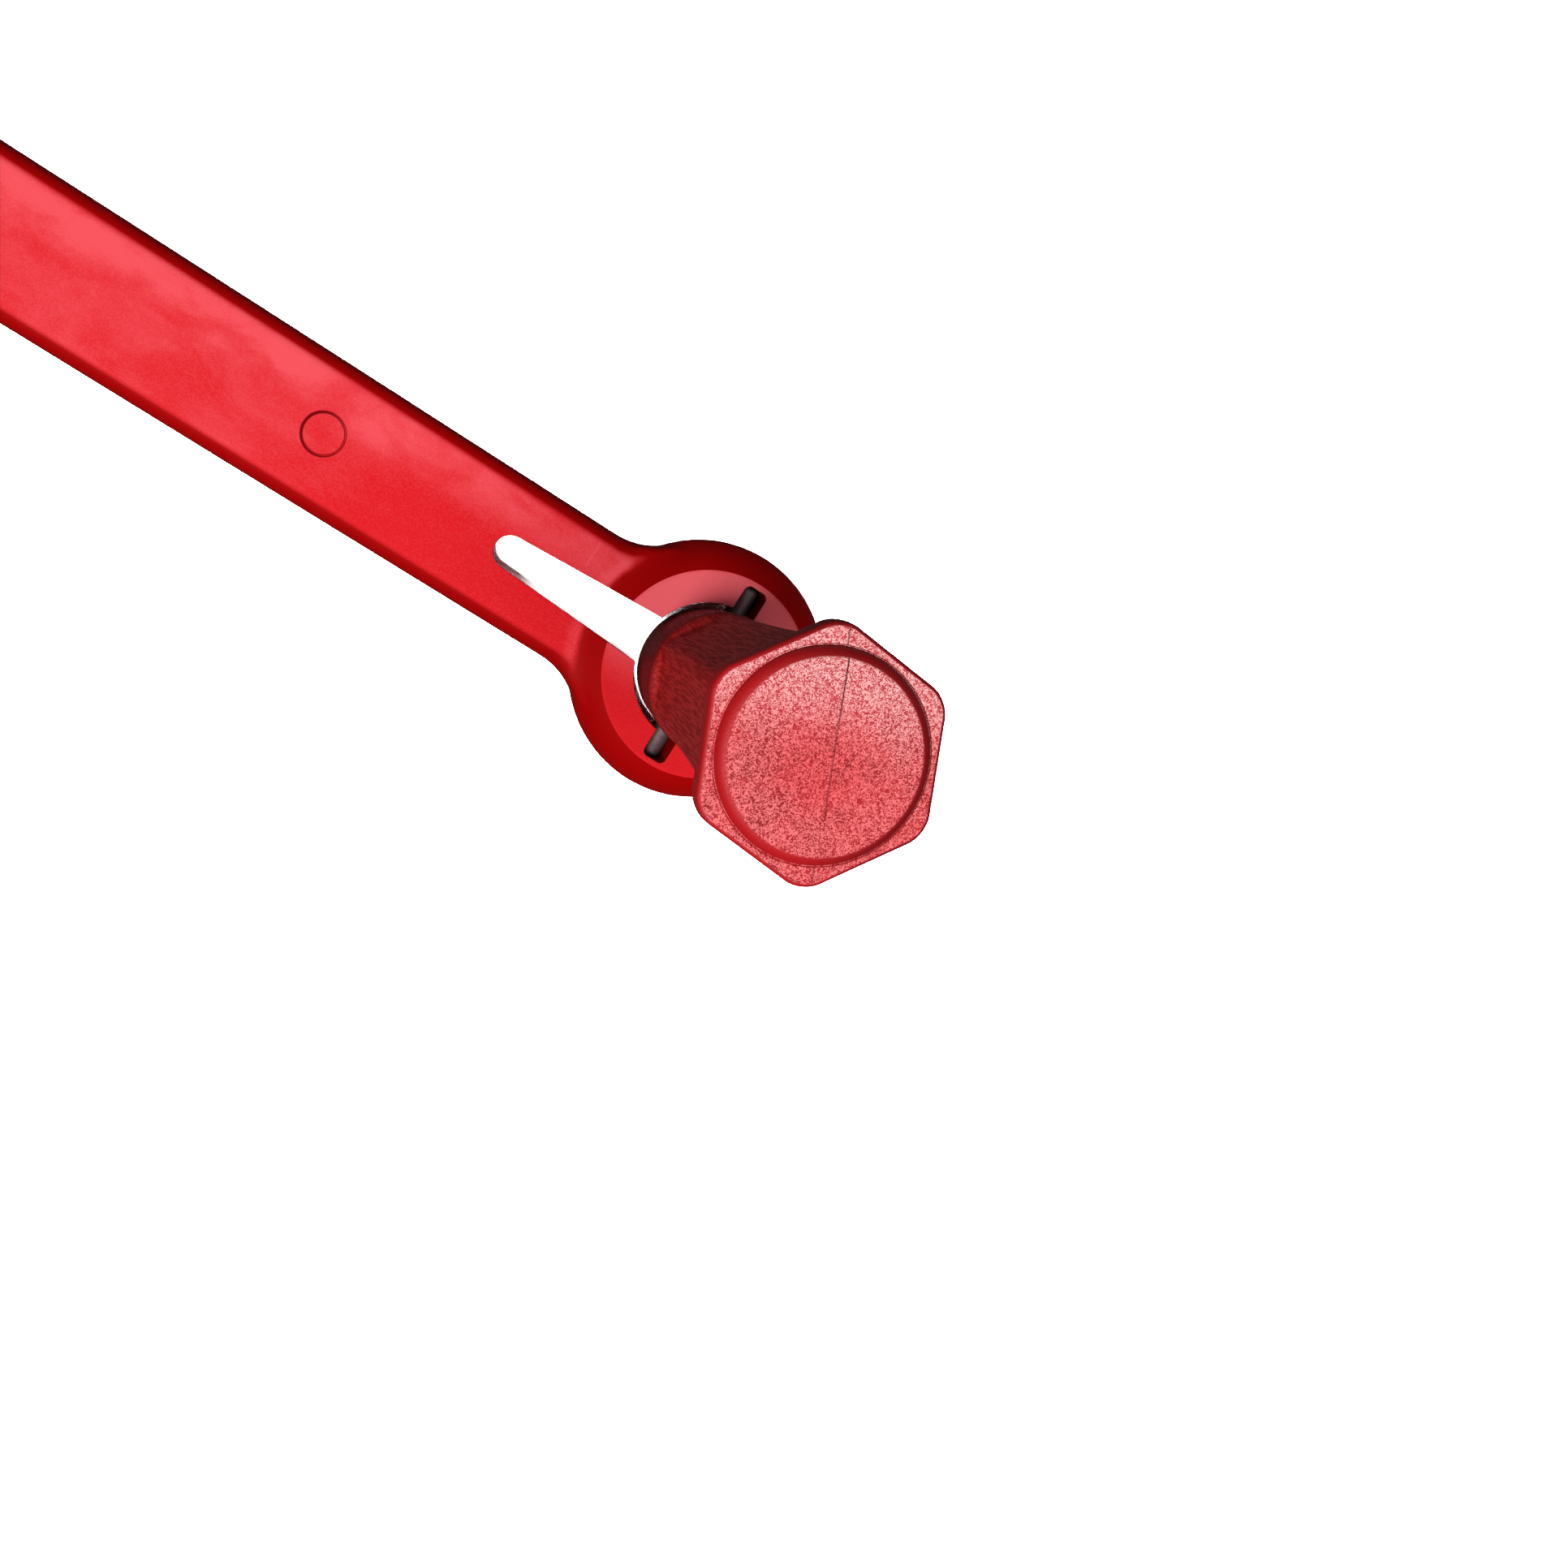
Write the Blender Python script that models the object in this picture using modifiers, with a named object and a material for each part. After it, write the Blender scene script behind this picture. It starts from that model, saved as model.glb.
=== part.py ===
"""Fire hydrant wrench.

A flat moulded lever carries a thick split ring. A hexagonal drive plug drops into the ring
from the front. A steel cross pin through the foot of the plug lies in two blind notches of
the ring, so the lever turns the plug, and the plug lifts straight out along its own axis.

Axes: the lever lies along X with the ring at +X, and the plug stands up along +Z.
Origin: centre of the wrench's own box, on the plane that it rests on.
"""
import math

import bmesh
import bpy
from mathutils import Matrix, Vector

MM = 0.001
GAP = 0.3 * MM                   # clearance between neighbouring solids

# Lever
LENGTH = 260.0 * MM              # over the ring and the far end
RING_R = 25.0 * MM               # widest radius of the ring, at its middle plane
RING_T = 14.0 * MM               # ring thickness
RIM_R = 20.0 * MM                # outer edge of the ring's flat faces
LAND = 1.0 * MM                  # half height of the upright land round the ring
FLANK_BULGE = 20.0               # degrees that the ring's flank leaves its straight chord by
BORE_R = 13.85 * MM
HANDLE_W = 27.0 * MM
HANDLE_T = 8.0 * MM
HANDLE_EDGE = 3.4 * MM           # rounding of the handle's long edges
NECK_FILLET = 15.0 * MM          # plan radius where the handle runs into the ring
NECK_INSET = 0.3 * MM            # how far the handle's outline stays inside the ring's land
SLOT_LENGTH = 46.6 * MM          # from the ring's axis to the slot's closed end
SLOT_END_R = 3.15 * MM
SLOT_MOUTH_HALF = 5.05 * MM      # half width where the slot opens into the bore
SLOT_MOUTH_X = 9.7 * MM          # from the ring's axis to the end of the slot's cut, inside the bore
NOTCH_REACH = 18.9 * MM          # from the ring's axis to the notch's outer wall
NOTCH_CORNER = 1.2 * MM
NOTCH_START = 10.85 * MM         # from the ring's axis to the start of the notch's cut, inside the bore
EYE_R = 6.0 * MM                 # hanging hole at the far end
EYE_BOSS_R = 10.8 * MM
EYE_BOSS_SLOPE = 1.4 * MM
EYE_BOSS_SINK = 0.5 * MM         # how far the boss's slope runs below the handle's face

# Cross pin
PIN_R = 2.1 * MM
PIN_Z = 8.4 * MM
PIN_CHAMFER = 0.5 * MM

# Drive plug, heights above the plane that the lever rests on
FOOT_R = 9.0 * MM
FOOT_Z = 1.0 * MM
FOOT_CHAMFER = 0.8 * MM
COLLAR_Z = 9.0 * MM              # lower edge of the collar
COLLAR_R0 = 12.25 * MM
COLLAR_R1 = 13.6 * MM            # the collar widens upwards
COLLAR_TOP = 27.5 * MM
SHOULDER = 1.6 * MM              # rounding of the collar's upper edge
SHANK_START = 22.0 * MM          # buried in the collar
SHANK_SECTIONS = (               # height, radius to the hexagon's corners
    (0.0, 13.3 * MM),
    (12.0 * MM, 14.2 * MM),
    (26.0 * MM, 15.2 * MM),
    (40.0 * MM, 16.2 * MM),
    (54.0 * MM, 17.4 * MM),
    (66.0 * MM, 19.0 * MM),
    (71.0 * MM, 20.2 * MM),
)
SHANK_CORNER = 1.6 * MM
HEX_ACROSS_FLATS = 39.0 * MM
HEX_T = 4.2 * MM
HEX_TOP = 96.0 * MM
HEX_CORNER = 3.3 * MM
HEX_RIM = 0.9 * MM
HEX_TURN = math.radians(-5.1)    # turn of a corner of the hexagon from the lever's own axis
HEX_FIRST = math.radians(90.0)   # where a new circle puts its first corner
DISC_R = 17.8 * MM
DISC_H = 1.8 * MM
DISC_EDGE = 1.5 * MM

ROUND_STEPS = 72                 # sides of a turned shape
BORE_CUT = 2.0 * MM              # stock left inside a hole before it is cut
CUT_PAST = 2.0 * MM              # how far a cutter runs past the faces that it cuts
MERGE = 0.002 * MM
RING_X = LENGTH / 2 - RING_R     # ring axis, from the origin
EYE_X = -LENGTH / 2 + HANDLE_W / 2
MID_Z = RING_T / 2               # middle plane of the lever
NOTCH_HALF = PIN_R + GAP
NOTCH_FLOOR = PIN_Z - PIN_R - GAP

RED = (0.62, 0.012, 0.022, 1.0)
STEEL = (0.10, 0.095, 0.09, 1.0)


# ---------------------------------------------------------------- scene and materials
def clear_scene():
    for old in list(bpy.data.objects):
        bpy.data.objects.remove(old, do_unlink=True)


def new_collection(name):
    collection = bpy.data.collections.new(name)
    bpy.context.scene.collection.children.link(collection)
    return collection


def make_material(name, colour, roughness, metallic=0.0):
    material = bpy.data.materials.new(name)
    material.use_nodes = True
    shader = material.node_tree.nodes["Principled BSDF"]
    shader.inputs["Base Color"].default_value = colour
    shader.inputs["Roughness"].default_value = roughness
    shader.inputs["Metallic"].default_value = metallic
    material.diffuse_color = colour
    return material


# ---------------------------------------------------------------- outline and profile helpers
def arc(centre, radius, start_deg, end_deg, steps):
    """Points along an arc, both ends included."""
    points = []
    for i in range(steps + 1):
        angle = math.radians(start_deg + (end_deg - start_deg) * i / steps)
        points.append((centre[0] + radius * math.cos(angle), centre[1] + radius * math.sin(angle)))
    return points


def link(name, mesh, collection):
    obj = bpy.data.objects.new(name, mesh)
    collection.objects.link(obj)
    return obj


def as_mesh(obj):
    """Replace an object by its evaluated mesh, with doubles merged and its place kept."""
    depsgraph = bpy.context.evaluated_depsgraph_get()
    mesh = bpy.data.meshes.new_from_object(obj.evaluated_get(depsgraph))
    form = bmesh.new()
    form.from_mesh(mesh)
    bmesh.ops.remove_doubles(form, verts=form.verts, dist=MERGE)
    form.to_mesh(mesh)
    form.free()
    name, matrix, collection = obj.name, obj.matrix_world.copy(), obj.users_collection[0]
    bpy.data.objects.remove(obj, do_unlink=True)
    solid = link(name, mesh, collection)
    solid.matrix_world = matrix
    return solid


def extruded_outline(name, outline, low, high, collection):
    """A flat outline as a filled 2D curve, thickened from low to high along Z."""
    curve = bpy.data.curves.new(name, "CURVE")
    curve.dimensions = "2D"
    curve.fill_mode = "BOTH"
    curve.extrude = (high - low) / 2
    spline = curve.splines.new("POLY")
    spline.points.add(len(outline) - 1)
    for point, (x, y) in zip(spline.points, outline):
        point.co = (x, y, 0.0, 1.0)
    spline.use_cyclic_u = True
    obj = link(name, curve, collection)
    obj.location.z = (low + high) / 2
    bpy.context.view_layer.update()
    return as_mesh(obj)


def turned(name, profile, collection, x=0.0):
    """A closed (radius, height) profile turned about the upright line at x."""
    mesh = bpy.data.meshes.new(name)
    points = [(radius, 0.0, height) for radius, height in profile]
    edges = [(i, (i + 1) % len(points)) for i in range(len(points))]
    if profile[0][0] == 0.0 and profile[-1][0] == 0.0:
        edges.pop()
    mesh.from_pydata(points, edges, [])
    obj = link(name, mesh, collection)
    obj.location.x = x
    screw = obj.modifiers.new("Turn", "SCREW")
    screw.steps = ROUND_STEPS
    screw.render_steps = ROUND_STEPS
    screw.use_merge_vertices = True
    screw.merge_threshold = MERGE
    bpy.context.view_layer.update()
    return as_mesh(obj)


def cylinder(name, radius, low, high, collection, x=0.0, sides=ROUND_STEPS):
    mesh = bpy.data.meshes.new(name)
    form = bmesh.new()
    bmesh.ops.create_cone(form, cap_ends=True, segments=sides, radius1=radius, radius2=radius,
                          depth=high - low)
    form.to_mesh(mesh)
    form.free()
    obj = link(name, mesh, collection)
    obj.location = (x, 0.0, (low + high) / 2)
    return obj


def combine(target, other, operation):
    """Join or cut target with another solid, which is then removed."""
    bpy.context.view_layer.update()
    boolean = target.modifiers.new(operation.title(), "BOOLEAN")
    boolean.operation = operation
    boolean.object = other
    boolean.solver = "EXACT"
    bpy.context.view_layer.update()
    result = as_mesh(target)
    bpy.data.objects.remove(other, do_unlink=True)
    return result


def rounded(obj, width, segments, angle_deg):
    bevel = obj.modifiers.new("Round edges", "BEVEL")
    bevel.width = width
    bevel.segments = segments
    bevel.limit_method = "ANGLE"
    bevel.angle_limit = math.radians(angle_deg)
    bpy.context.view_layer.update()
    return as_mesh(obj)


def finish(obj, material, sharp_deg=35.0):
    obj.data.materials.clear()
    obj.data.materials.append(material)
    obj.data.shade_smooth()
    obj.data.set_sharp_from_angle(angle=math.radians(sharp_deg))


# ---------------------------------------------------------------- lever
def handle_outline():
    """Plan of the handle and its neck. It ends on a circle that the ring swallows."""
    half = HANDLE_W / 2
    ring = RING_R - NECK_INSET
    reach = ring + NECK_FILLET
    fillet_y = half + NECK_FILLET
    fillet_x = -math.sqrt(reach ** 2 - fillet_y ** 2)
    touch = math.degrees(math.atan2(-fillet_y, -fillet_x))
    upper = arc((RING_X + fillet_x, fillet_y), NECK_FILLET, -90.0, touch, 10)
    round_end = arc((EYE_X, 0.0), half, 270.0, 90.0, 24)
    ring_start = math.degrees(math.atan2(fillet_y, fillet_x))
    swallowed = arc((RING_X, 0.0), ring, ring_start, -ring_start, 36)
    lower = [(x, -y) for x, y in reversed(upper)]
    return round_end + upper + swallowed[1:-1] + lower


def bulged(start, end, lean_deg, steps):
    """Arc from start to end that leaves their chord by lean_deg, bulging to its left."""
    a, b = Vector(start), Vector(end)
    lean = math.radians(lean_deg)
    radius = (b - a).length / (2.0 * math.sin(lean))
    away = Vector((b.y - a.y, a.x - b.x)).normalized()
    centre = (a + b) / 2 + away * radius * math.cos(lean)
    spoke = a - centre
    turns = [Matrix.Rotation(-2.0 * lean * i / steps, 2) for i in range(steps + 1)]
    return [tuple(centre + turn @ spoke) for turn in turns]


def ring_profile():
    """Half section of the thick ring: flat faces, curved flanks and an upright land."""
    flank = bulged((RIM_R, RING_T), (RING_R, MID_Z + LAND), FLANK_BULGE, 6)
    mirrored = [(radius, RING_T - height) for radius, height in reversed(flank)]
    inner = BORE_R - BORE_CUT
    return [(inner, RING_T)] + flank + mirrored + [(inner, 0.0)]


def slot_outline():
    """Tapered slot: a round closed end, widening to its mouth in the bore."""
    end_x = RING_X - SLOT_LENGTH + SLOT_END_R
    mouth_x = RING_X - SLOT_MOUTH_X
    lean = math.degrees(math.atan2(SLOT_MOUTH_HALF - SLOT_END_R, mouth_x - end_x))
    closed_end = arc((end_x, 0.0), SLOT_END_R, 90.0 + lean, 270.0 - lean, 16)
    return closed_end + [(mouth_x, -SLOT_MOUTH_HALF), (mouth_x, SLOT_MOUTH_HALF)]


def notch_outline(side):
    """Plan of one notch, from inside the bore out to its rounded outer wall."""
    straight = NOTCH_REACH - NOTCH_CORNER
    corner_x = NOTCH_HALF - NOTCH_CORNER
    right = arc((RING_X + corner_x, straight), NOTCH_CORNER, 0.0, 90.0, 5)
    left = arc((RING_X - corner_x, straight), NOTCH_CORNER, 90.0, 180.0, 5)
    start, end = (RING_X + NOTCH_HALF, NOTCH_START), (RING_X - NOTCH_HALF, NOTCH_START)
    plan = [start] + right + left + [end]
    return [(x, side * y) for x, y in plan]


def eye_boss_profile():
    slope_h = (RING_T - HANDLE_T) / 2 + EYE_BOSS_SINK
    top = [(EYE_BOSS_R - EYE_BOSS_SLOPE, RING_T), (EYE_BOSS_R, RING_T - slope_h)]
    bottom = [(radius, RING_T - height) for radius, height in reversed(top)]
    inner = EYE_R - BORE_CUT
    return [(inner, RING_T)] + top + bottom + [(inner, 0.0)]


def make_lever(parts, cutters, material):
    lever = extruded_outline("lever", handle_outline(), MID_Z - HANDLE_T / 2, MID_Z + HANDLE_T / 2, parts)
    lever = rounded(lever, HANDLE_EDGE, 4, 60.0)
    lever = combine(lever, turned("ring body", ring_profile(), cutters, RING_X), "UNION")
    lever = combine(lever, turned("eye boss", eye_boss_profile(), cutters, EYE_X), "UNION")
    below, above = -CUT_PAST, RING_T + CUT_PAST
    lever = combine(lever, cylinder("bore", BORE_R, below, above, cutters, RING_X), "DIFFERENCE")
    lever = combine(lever, extruded_outline("slot", slot_outline(), below, above, cutters), "DIFFERENCE")
    for side in (1, -1):
        notch = extruded_outline("notch", notch_outline(side), NOTCH_FLOOR, above, cutters)
        lever = combine(lever, notch, "DIFFERENCE")
    lever = combine(lever, cylinder("hanging hole", EYE_R, below, above, cutters, EYE_X, 40), "DIFFERENCE")
    finish(lever, material)
    return lever


# ---------------------------------------------------------------- drive plug
def collar_profile():
    """Foot, lead-in cone and collar, from the top of the axis down its outer side."""
    shoulder = arc((COLLAR_R1 - SHOULDER, COLLAR_TOP - SHOULDER), SHOULDER, 90.0, 0.0, 5)
    cone_h = COLLAR_R0 - FOOT_R
    return ([(0.0, COLLAR_TOP)] + shoulder
            + [(COLLAR_R0, COLLAR_Z), (FOOT_R, COLLAR_Z - cone_h)]
            + [(FOOT_R, FOOT_Z + FOOT_CHAMFER), (FOOT_R - FOOT_CHAMFER, FOOT_Z), (0.0, FOOT_Z)])


def disc_profile():
    edge = arc((DISC_R - DISC_EDGE, HEX_TOP + DISC_H - DISC_EDGE), DISC_EDGE, 90.0, 0.0, 5)
    buried = HEX_TOP - HEX_T / 2
    return [(0.0, HEX_TOP + DISC_H)] + edge + [(DISC_R, buried), (0.0, buried)]


def hexagon_prism(name, sections, corner, collection):
    """Six-sided shape raised through sections of (height, corner radius), with rounded corners."""
    mesh = bpy.data.meshes.new(name)
    form = bmesh.new()
    ring = bmesh.ops.create_circle(form, cap_ends=False, segments=6, radius=sections[0][1])["verts"]
    bmesh.ops.translate(form, verts=ring, vec=(0.0, 0.0, sections[0][0]))
    rim = list(form.edges)
    for (low, old), (high, new) in zip(sections, sections[1:]):
        grown = bmesh.ops.extrude_edge_only(form, edges=rim)["geom"]
        corners = [item for item in grown if isinstance(item, bmesh.types.BMVert)]
        rim = [item for item in grown if isinstance(item, bmesh.types.BMEdge)]
        bmesh.ops.scale(form, verts=corners, vec=(new / old, new / old, 1.0))
        bmesh.ops.translate(form, verts=corners, vec=(0.0, 0.0, high - low))
    bmesh.ops.holes_fill(form, edges=form.edges, sides=6)
    long_edges = [e for e in form.edges if abs(e.verts[0].co.z - e.verts[1].co.z) > 1e-4]
    bmesh.ops.bevel(form, geom=long_edges, offset=corner, offset_type="OFFSET", segments=4, profile=0.5,
                    affect="EDGES")
    bmesh.ops.recalc_face_normals(form, faces=form.faces)
    form.to_mesh(mesh)
    form.free()
    obj = link(name, mesh, collection)
    obj.rotation_euler.z = HEX_TURN - HEX_FIRST
    bpy.context.view_layer.update()
    return obj


def pin_bore(cutters):
    bore = cylinder("pin bore", PIN_R + GAP, -RING_R, RING_R, cutters, 0.0, 32)
    bore.matrix_world = Matrix.Translation(Vector((0.0, 0.0, PIN_Z))) @ Matrix.Rotation(math.pi / 2, 4, "X")
    return bore


def make_plug(parts, cutters, material, axis):
    plug = turned("drive_plug", collar_profile(), parts)
    shank = [(SHANK_START + height, radius) for height, radius in SHANK_SECTIONS]
    plug = combine(plug, hexagon_prism("shank", shank, SHANK_CORNER, cutters), "UNION")
    corner_r = HEX_ACROSS_FLATS / math.sqrt(3.0)
    flange = hexagon_prism("flange", [(HEX_TOP - HEX_T, corner_r), (HEX_TOP, corner_r)], HEX_CORNER, cutters)
    plug = combine(plug, rounded(flange, HEX_RIM, 3, 60.0), "UNION")
    plug = combine(plug, turned("disc", disc_profile(), cutters), "UNION")
    plug = combine(plug, pin_bore(cutters), "DIFFERENCE")
    finish(plug, material)
    plug.parent = axis
    return plug


# ---------------------------------------------------------------- cross pin
def make_cross_pin(parts, material, axis):
    length = 2 * (NOTCH_REACH - GAP)
    pin = cylinder("cross_pin", PIN_R, -length / 2, length / 2, parts, 0.0, 32)
    pin.location = (0.0, 0.0, PIN_Z)
    pin.rotation_euler.x = math.pi / 2
    bpy.context.view_layer.update()
    pin = rounded(pin, PIN_CHAMFER, 2, 60.0)
    finish(pin, material)
    pin.parent = axis
    return pin


def main():
    clear_scene()
    parts = new_collection("fire_hydrant_wrench")
    cutters = new_collection("cutters")
    red = make_material("red plastic", RED, 0.42)
    plug_red = make_material("grained red plastic", RED, 0.5)
    steel = make_material("dark steel", STEEL, 0.45, 0.8)
    axis = bpy.data.objects.new("plug_axis", None)
    axis.location = (RING_X, 0.0, 0.0)
    parts.objects.link(axis)
    make_lever(parts, cutters, red)
    make_plug(parts, cutters, plug_red, axis)
    make_cross_pin(parts, steel, axis)


main()
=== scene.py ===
# %% [markdown]
# A fire hydrant wrench has three pieces: a long flat lever with a split ring at its end, a
# hexagonal drive plug that stands in the ring, and a steel cross pin that locks the two together.
# Their sizes come from a measured model, which is loaded here as a fixed frame. Each piece is then
# modelled again in finer detail at the same place, so that it can never drift from the real size.

import math

import bmesh
import bpy
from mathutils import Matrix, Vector


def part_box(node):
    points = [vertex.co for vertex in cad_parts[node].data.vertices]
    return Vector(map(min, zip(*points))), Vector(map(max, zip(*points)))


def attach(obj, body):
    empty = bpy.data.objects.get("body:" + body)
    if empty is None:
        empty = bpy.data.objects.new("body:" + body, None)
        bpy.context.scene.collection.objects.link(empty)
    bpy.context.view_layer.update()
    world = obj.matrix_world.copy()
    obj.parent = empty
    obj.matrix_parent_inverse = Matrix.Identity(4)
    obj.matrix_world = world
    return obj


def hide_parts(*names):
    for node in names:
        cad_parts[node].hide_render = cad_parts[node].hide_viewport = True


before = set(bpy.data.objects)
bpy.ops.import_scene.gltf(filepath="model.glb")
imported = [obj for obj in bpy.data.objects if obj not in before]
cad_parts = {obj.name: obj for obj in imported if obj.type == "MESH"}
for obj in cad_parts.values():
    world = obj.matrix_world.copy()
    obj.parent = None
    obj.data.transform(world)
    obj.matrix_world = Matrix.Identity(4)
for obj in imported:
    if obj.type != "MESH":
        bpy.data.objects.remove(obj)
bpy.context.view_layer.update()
MM = 0.001
lever_low, lever_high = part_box("lever")
plug_low, plug_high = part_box("drive_plug")
pin_low, pin_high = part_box("cross_pin")
RING_R = (lever_high.y - lever_low.y) / 2
RING_T = lever_high.z
RING_X = lever_high.x - RING_R
MID_Z = RING_T / 2
print("ring axis at x", round(RING_X / MM, 1), "mm, ring thickness", round(RING_T / MM, 1), "mm")

# %% [markdown]
# Every piece is made by the same few moves: leave edit mode, select one object, go into edit mode
# with nothing selected, then pick faces or edges by where they are. Small helpers keep the cells
# below as short as the same work done by hand with a mouse.


# %% Helpers for selecting by place
def nothing():
    """Object mode, with nothing selected."""
    if bpy.context.object and bpy.context.object.mode != "OBJECT":
        bpy.ops.object.mode_set(mode="OBJECT")
    bpy.ops.object.select_all(action="DESELECT")


def only(obj):
    """Object mode, with obj selected alone and active."""
    nothing()
    obj.select_set(True)
    bpy.context.view_layer.objects.active = obj


def edit(obj, mode="FACE"):
    """Edit mode in one select mode, with nothing selected."""
    only(obj)
    bpy.ops.object.mode_set(mode="EDIT")
    bpy.ops.mesh.select_mode(type=mode)
    bpy.ops.mesh.select_all(action="DESELECT")


def pick(obj, kind, test):
    """Select the verts, edges or faces of obj, now in edit mode, that pass a test.

    Returns how many there are.
    """
    form = bmesh.from_edit_mesh(obj.data)
    form.normal_update()
    found = [item for item in getattr(form, kind) if test(item)]
    for item in found:
        item.select = True
    form.select_flush_mode()
    bmesh.update_edit_mesh(obj.data)
    return len(found)


def named(name):
    """Name the new primitive, and put its place into its mesh."""
    obj = bpy.context.object
    obj.name = name
    obj.data.name = name
    bpy.ops.object.transform_apply(location=True, rotation=True, scale=True)
    return obj


def modify(obj, kind, **settings):
    """Add a modifier and apply it."""
    only(obj)
    modifier = obj.modifiers.new(kind.title(), kind)
    for key, value in settings.items():
        setattr(modifier, key, value)
    bpy.ops.object.modifier_apply(modifier=modifier.name)
    return obj


def combine(obj, tool, operation):
    """Join or cut obj with a closed tool, which is used up."""
    modify(obj, "BOOLEAN", operation=operation, object=tool, solver="EXACT")
    bpy.data.objects.remove(tool, do_unlink=True)
    return obj


def joined(name, *pieces):
    """Several objects as one mesh."""
    only(pieces[0])
    for piece in pieces[1:]:
        piece.select_set(True)
    bpy.ops.object.join()
    pieces[0].name = name
    pieces[0].data.name = name
    return pieces[0]


def triangles(obj):
    """How many triangles a mesh comes to."""
    return sum(len(face.vertices) - 2 for face in obj.data.polygons)


# %% [markdown]
# Round parts are drawn as a half section and turned. The section is drawn point by point, each
# point extruded from the last one, as it would be on a lathe drawing, and Spin turns it round.
# Flat parts are drawn the same way in plan, filled with one face and pulled up.


# %% Helpers for turned shapes and blocks
TURN_STEPS = 120
MERGE = 0.002 * MM
TINY = 0.001 * MM
TOUCH = 0.01 * MM
UPRIGHT = (0.0, 0.0, 1.0)


def arc(centre, radius, start_deg, end_deg, steps):
    """Points along an arc, both ends included."""
    angles = [math.radians(start_deg + (end_deg - start_deg) * i / steps) for i in range(steps + 1)]
    return [(centre[0] + radius * math.cos(a), centre[1] + radius * math.sin(a)) for a in angles]


def drawn(name, points):
    """A closed line through points, left selected in edit mode."""
    nothing()
    bpy.ops.mesh.primitive_plane_add(size=MM, location=points[0])
    obj = named(name)
    edit(obj, "VERT")
    bpy.ops.mesh.select_all(action="SELECT")
    bpy.ops.mesh.merge(type="CENTER")
    for old, new in zip(points, points[1:] + points[:1]):
        step = [b - a for a, b in zip(old, new)]
        bpy.ops.mesh.extrude_region_move(TRANSFORM_OT_translate={"value": step})
    bpy.ops.mesh.select_all(action="SELECT")
    return obj


def turned(name, section, x):
    """A (radius, height) section turned about the upright line at x."""
    obj = drawn(name, [(x + radius, 0.0, height) for radius, height in section])
    bpy.ops.mesh.spin(
        steps=TURN_STEPS, angle=2.0 * math.pi, center=(x, 0.0, 0.0), axis=UPRIGHT
    )
    bpy.ops.mesh.select_all(action="SELECT")
    bpy.ops.mesh.remove_doubles(threshold=MERGE)
    bpy.ops.mesh.dissolve_degenerate(threshold=TINY)
    bpy.ops.mesh.select_all(action="SELECT")
    bpy.ops.mesh.normals_make_consistent(inside=False)
    only(obj)
    return obj


def raised(name, outline, low, high):
    """A flat (x, y) outline, filled and pulled up from low to high."""
    obj = drawn(name, [(x, y, low) for x, y in outline])
    bpy.ops.mesh.remove_doubles(threshold=MERGE)
    bpy.ops.mesh.edge_face_add()
    bpy.ops.mesh.extrude_region_move(TRANSFORM_OT_translate={"value": (0.0, 0.0, high - low)})
    bpy.ops.mesh.select_all(action="SELECT")
    bpy.ops.mesh.normals_make_consistent(inside=False)
    only(obj)
    return obj


def cylinder(name, radius, low, high, x):
    """An upright cylinder whose axis stands at x."""
    nothing()
    bpy.ops.mesh.primitive_cylinder_add(
        vertices=TURN_STEPS,
        radius=radius,
        depth=high - low,
        location=(x, 0.0, (low + high) / 2),
    )
    return named(name)


def block(name, low, high):
    """A box between two opposite corners."""
    nothing()
    low, high = Vector(low), Vector(high)
    bpy.ops.mesh.primitive_cube_add(size=1.0, location=(low + high) / 2, scale=high - low)
    return named(name)


# %% [markdown]
# The lever starts as a flat bar with one round end, whose neck runs into the ring with a large
# hollow fillet on each side. It is drawn in plan and pulled up to its thickness. It stops inside
# the ring, which swallows its square end. The long edges are rounded over after that, so the
# rounding follows the neck.

# %% The bar and its neck
HANDLE_W = 27.0 * MM
HANDLE_T = 8.0 * MM
HANDLE_EDGE = 3.4 * MM
EYE_X = lever_low.x + HANDLE_W / 2
BAR_LOW = MID_Z - HANDLE_T / 2
BAR_HIGH = MID_Z + HANDLE_T / 2
BAR_END = RING_X - 14.0 * MM
NECK_FILLET = 15.0 * MM
NECK_R = RING_R - 0.3 * MM
FLAT = 0.9

fillet_y = HANDLE_W / 2 + NECK_FILLET
fillet_reach = NECK_R + NECK_FILLET
fillet_x = math.sqrt(fillet_reach**2 - fillet_y**2)
touch = 360.0 - math.degrees(math.atan2(fillet_y, fillet_x))
neck = arc((RING_X - fillet_x, fillet_y), NECK_FILLET, 270.0, touch, 16)
half = neck + [(BAR_END, neck[-1][1])]
round_end = arc((EYE_X, 0.0), HANDLE_W / 2, 270.0, 90.0, 48)
plan = half + [(x, -y) for x, y in reversed(half)] + round_end
bar = raised("lever_body", plan, BAR_LOW, BAR_HIGH)
print("bar", [round(side / MM, 1) for side in bar.dimensions], "mm")
only(bar)
bpy.ops.object.duplicate()
footprint = bpy.context.object
footprint.name = "footprint"
edit(bar, "EDGE")


def is_long_edge(edge):
    """Between a lying face and a standing one."""
    lying = [abs(face.normal.z) > FLAT for face in edge.link_faces]
    return len(lying) == 2 and lying[0] != lying[1]


count = pick(bar, "edges", is_long_edge)
bpy.ops.mesh.bevel(offset=HANDLE_EDGE, segments=8, affect="EDGES", clamp_overlap=False)
only(bar)
print("rounded", count, "edges of the handle")

# %% [markdown]
# The ring is a thick hoop with flat faces and a bulging flank. Its flank is drawn as an arc that
# starts steep at the rim of the flat face, so the rim stays a crisp line, and turns upright at
# the ring's widest place. The section runs on above the finished faces, because the faces are
# cut flat later.

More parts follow.
